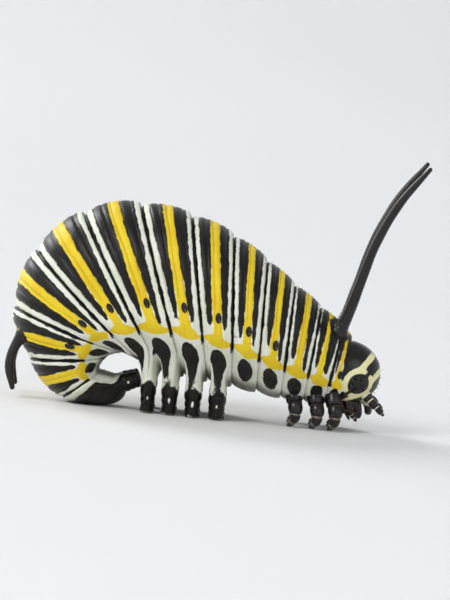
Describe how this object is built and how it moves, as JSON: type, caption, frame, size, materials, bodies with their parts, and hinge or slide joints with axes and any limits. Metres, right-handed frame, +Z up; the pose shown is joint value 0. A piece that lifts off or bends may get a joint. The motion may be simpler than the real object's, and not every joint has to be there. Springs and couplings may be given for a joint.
{
  "type": "monarch larva model",
  "caption": "Still, life-size model of a full-grown monarch larva, back arched and hind end curled under, with black filaments at both ends.",
  "frame": {"origin": "on the floor, under the middle of the model's box", "axes": "+X towards the head, along the body; +Y towards the larva's left side; +Z up from the floor"},
  "size_m": [0.0238, 0.009, 0.0161],
  "materials": {
    "skin": "satin",
    "head": "gloss",
    "stemmata": "gloss",
    "mouthparts": "gloss",
    "feelers": "satin",
    "true_legs": "gloss",
    "filaments": "satin"
  },
  "bodies": {
    "root": {"head_capsule": "head", "thorax_1": "skin", "thorax_2": "skin", "thorax_3": "skin", "abdomen_1": "skin", "abdomen_2": "skin", "abdomen_3": "skin", "abdomen_4": "skin", "abdomen_5": "skin", "abdomen_6": "skin", "abdomen_7": "skin", "abdomen_8": "skin", "abdomen_9": "skin", "abdomen_10": "skin", "labrum": "mouthparts", "labium": "mouthparts", "stemmata_left": "stemmata", "mandible_left": "mouthparts", "maxilla_left": "mouthparts", "antenna_left": "feelers", "filament_front_left": "filaments", "filament_rear_left": "filaments", "leg_1_left": "true_legs", "leg_2_left": "true_legs", "leg_3_left": "true_legs", "proleg_3_left": "skin", "proleg_4_left": "skin", "proleg_5_left": "skin", "proleg_6_left": "skin", "anal_proleg_left": "skin", "stemmata_right": "stemmata", "mandible_right": "mouthparts", "maxilla_right": "mouthparts", "antenna_right": "feelers", "filament_front_right": "filaments", "filament_rear_right": "filaments", "leg_1_right": "true_legs", "leg_2_right": "true_legs", "leg_3_right": "true_legs", "proleg_3_right": "skin", "proleg_4_right": "skin", "proleg_5_right": "skin", "proleg_6_right": "skin", "anal_proleg_right": "skin"}
  },
  "joints": []
}
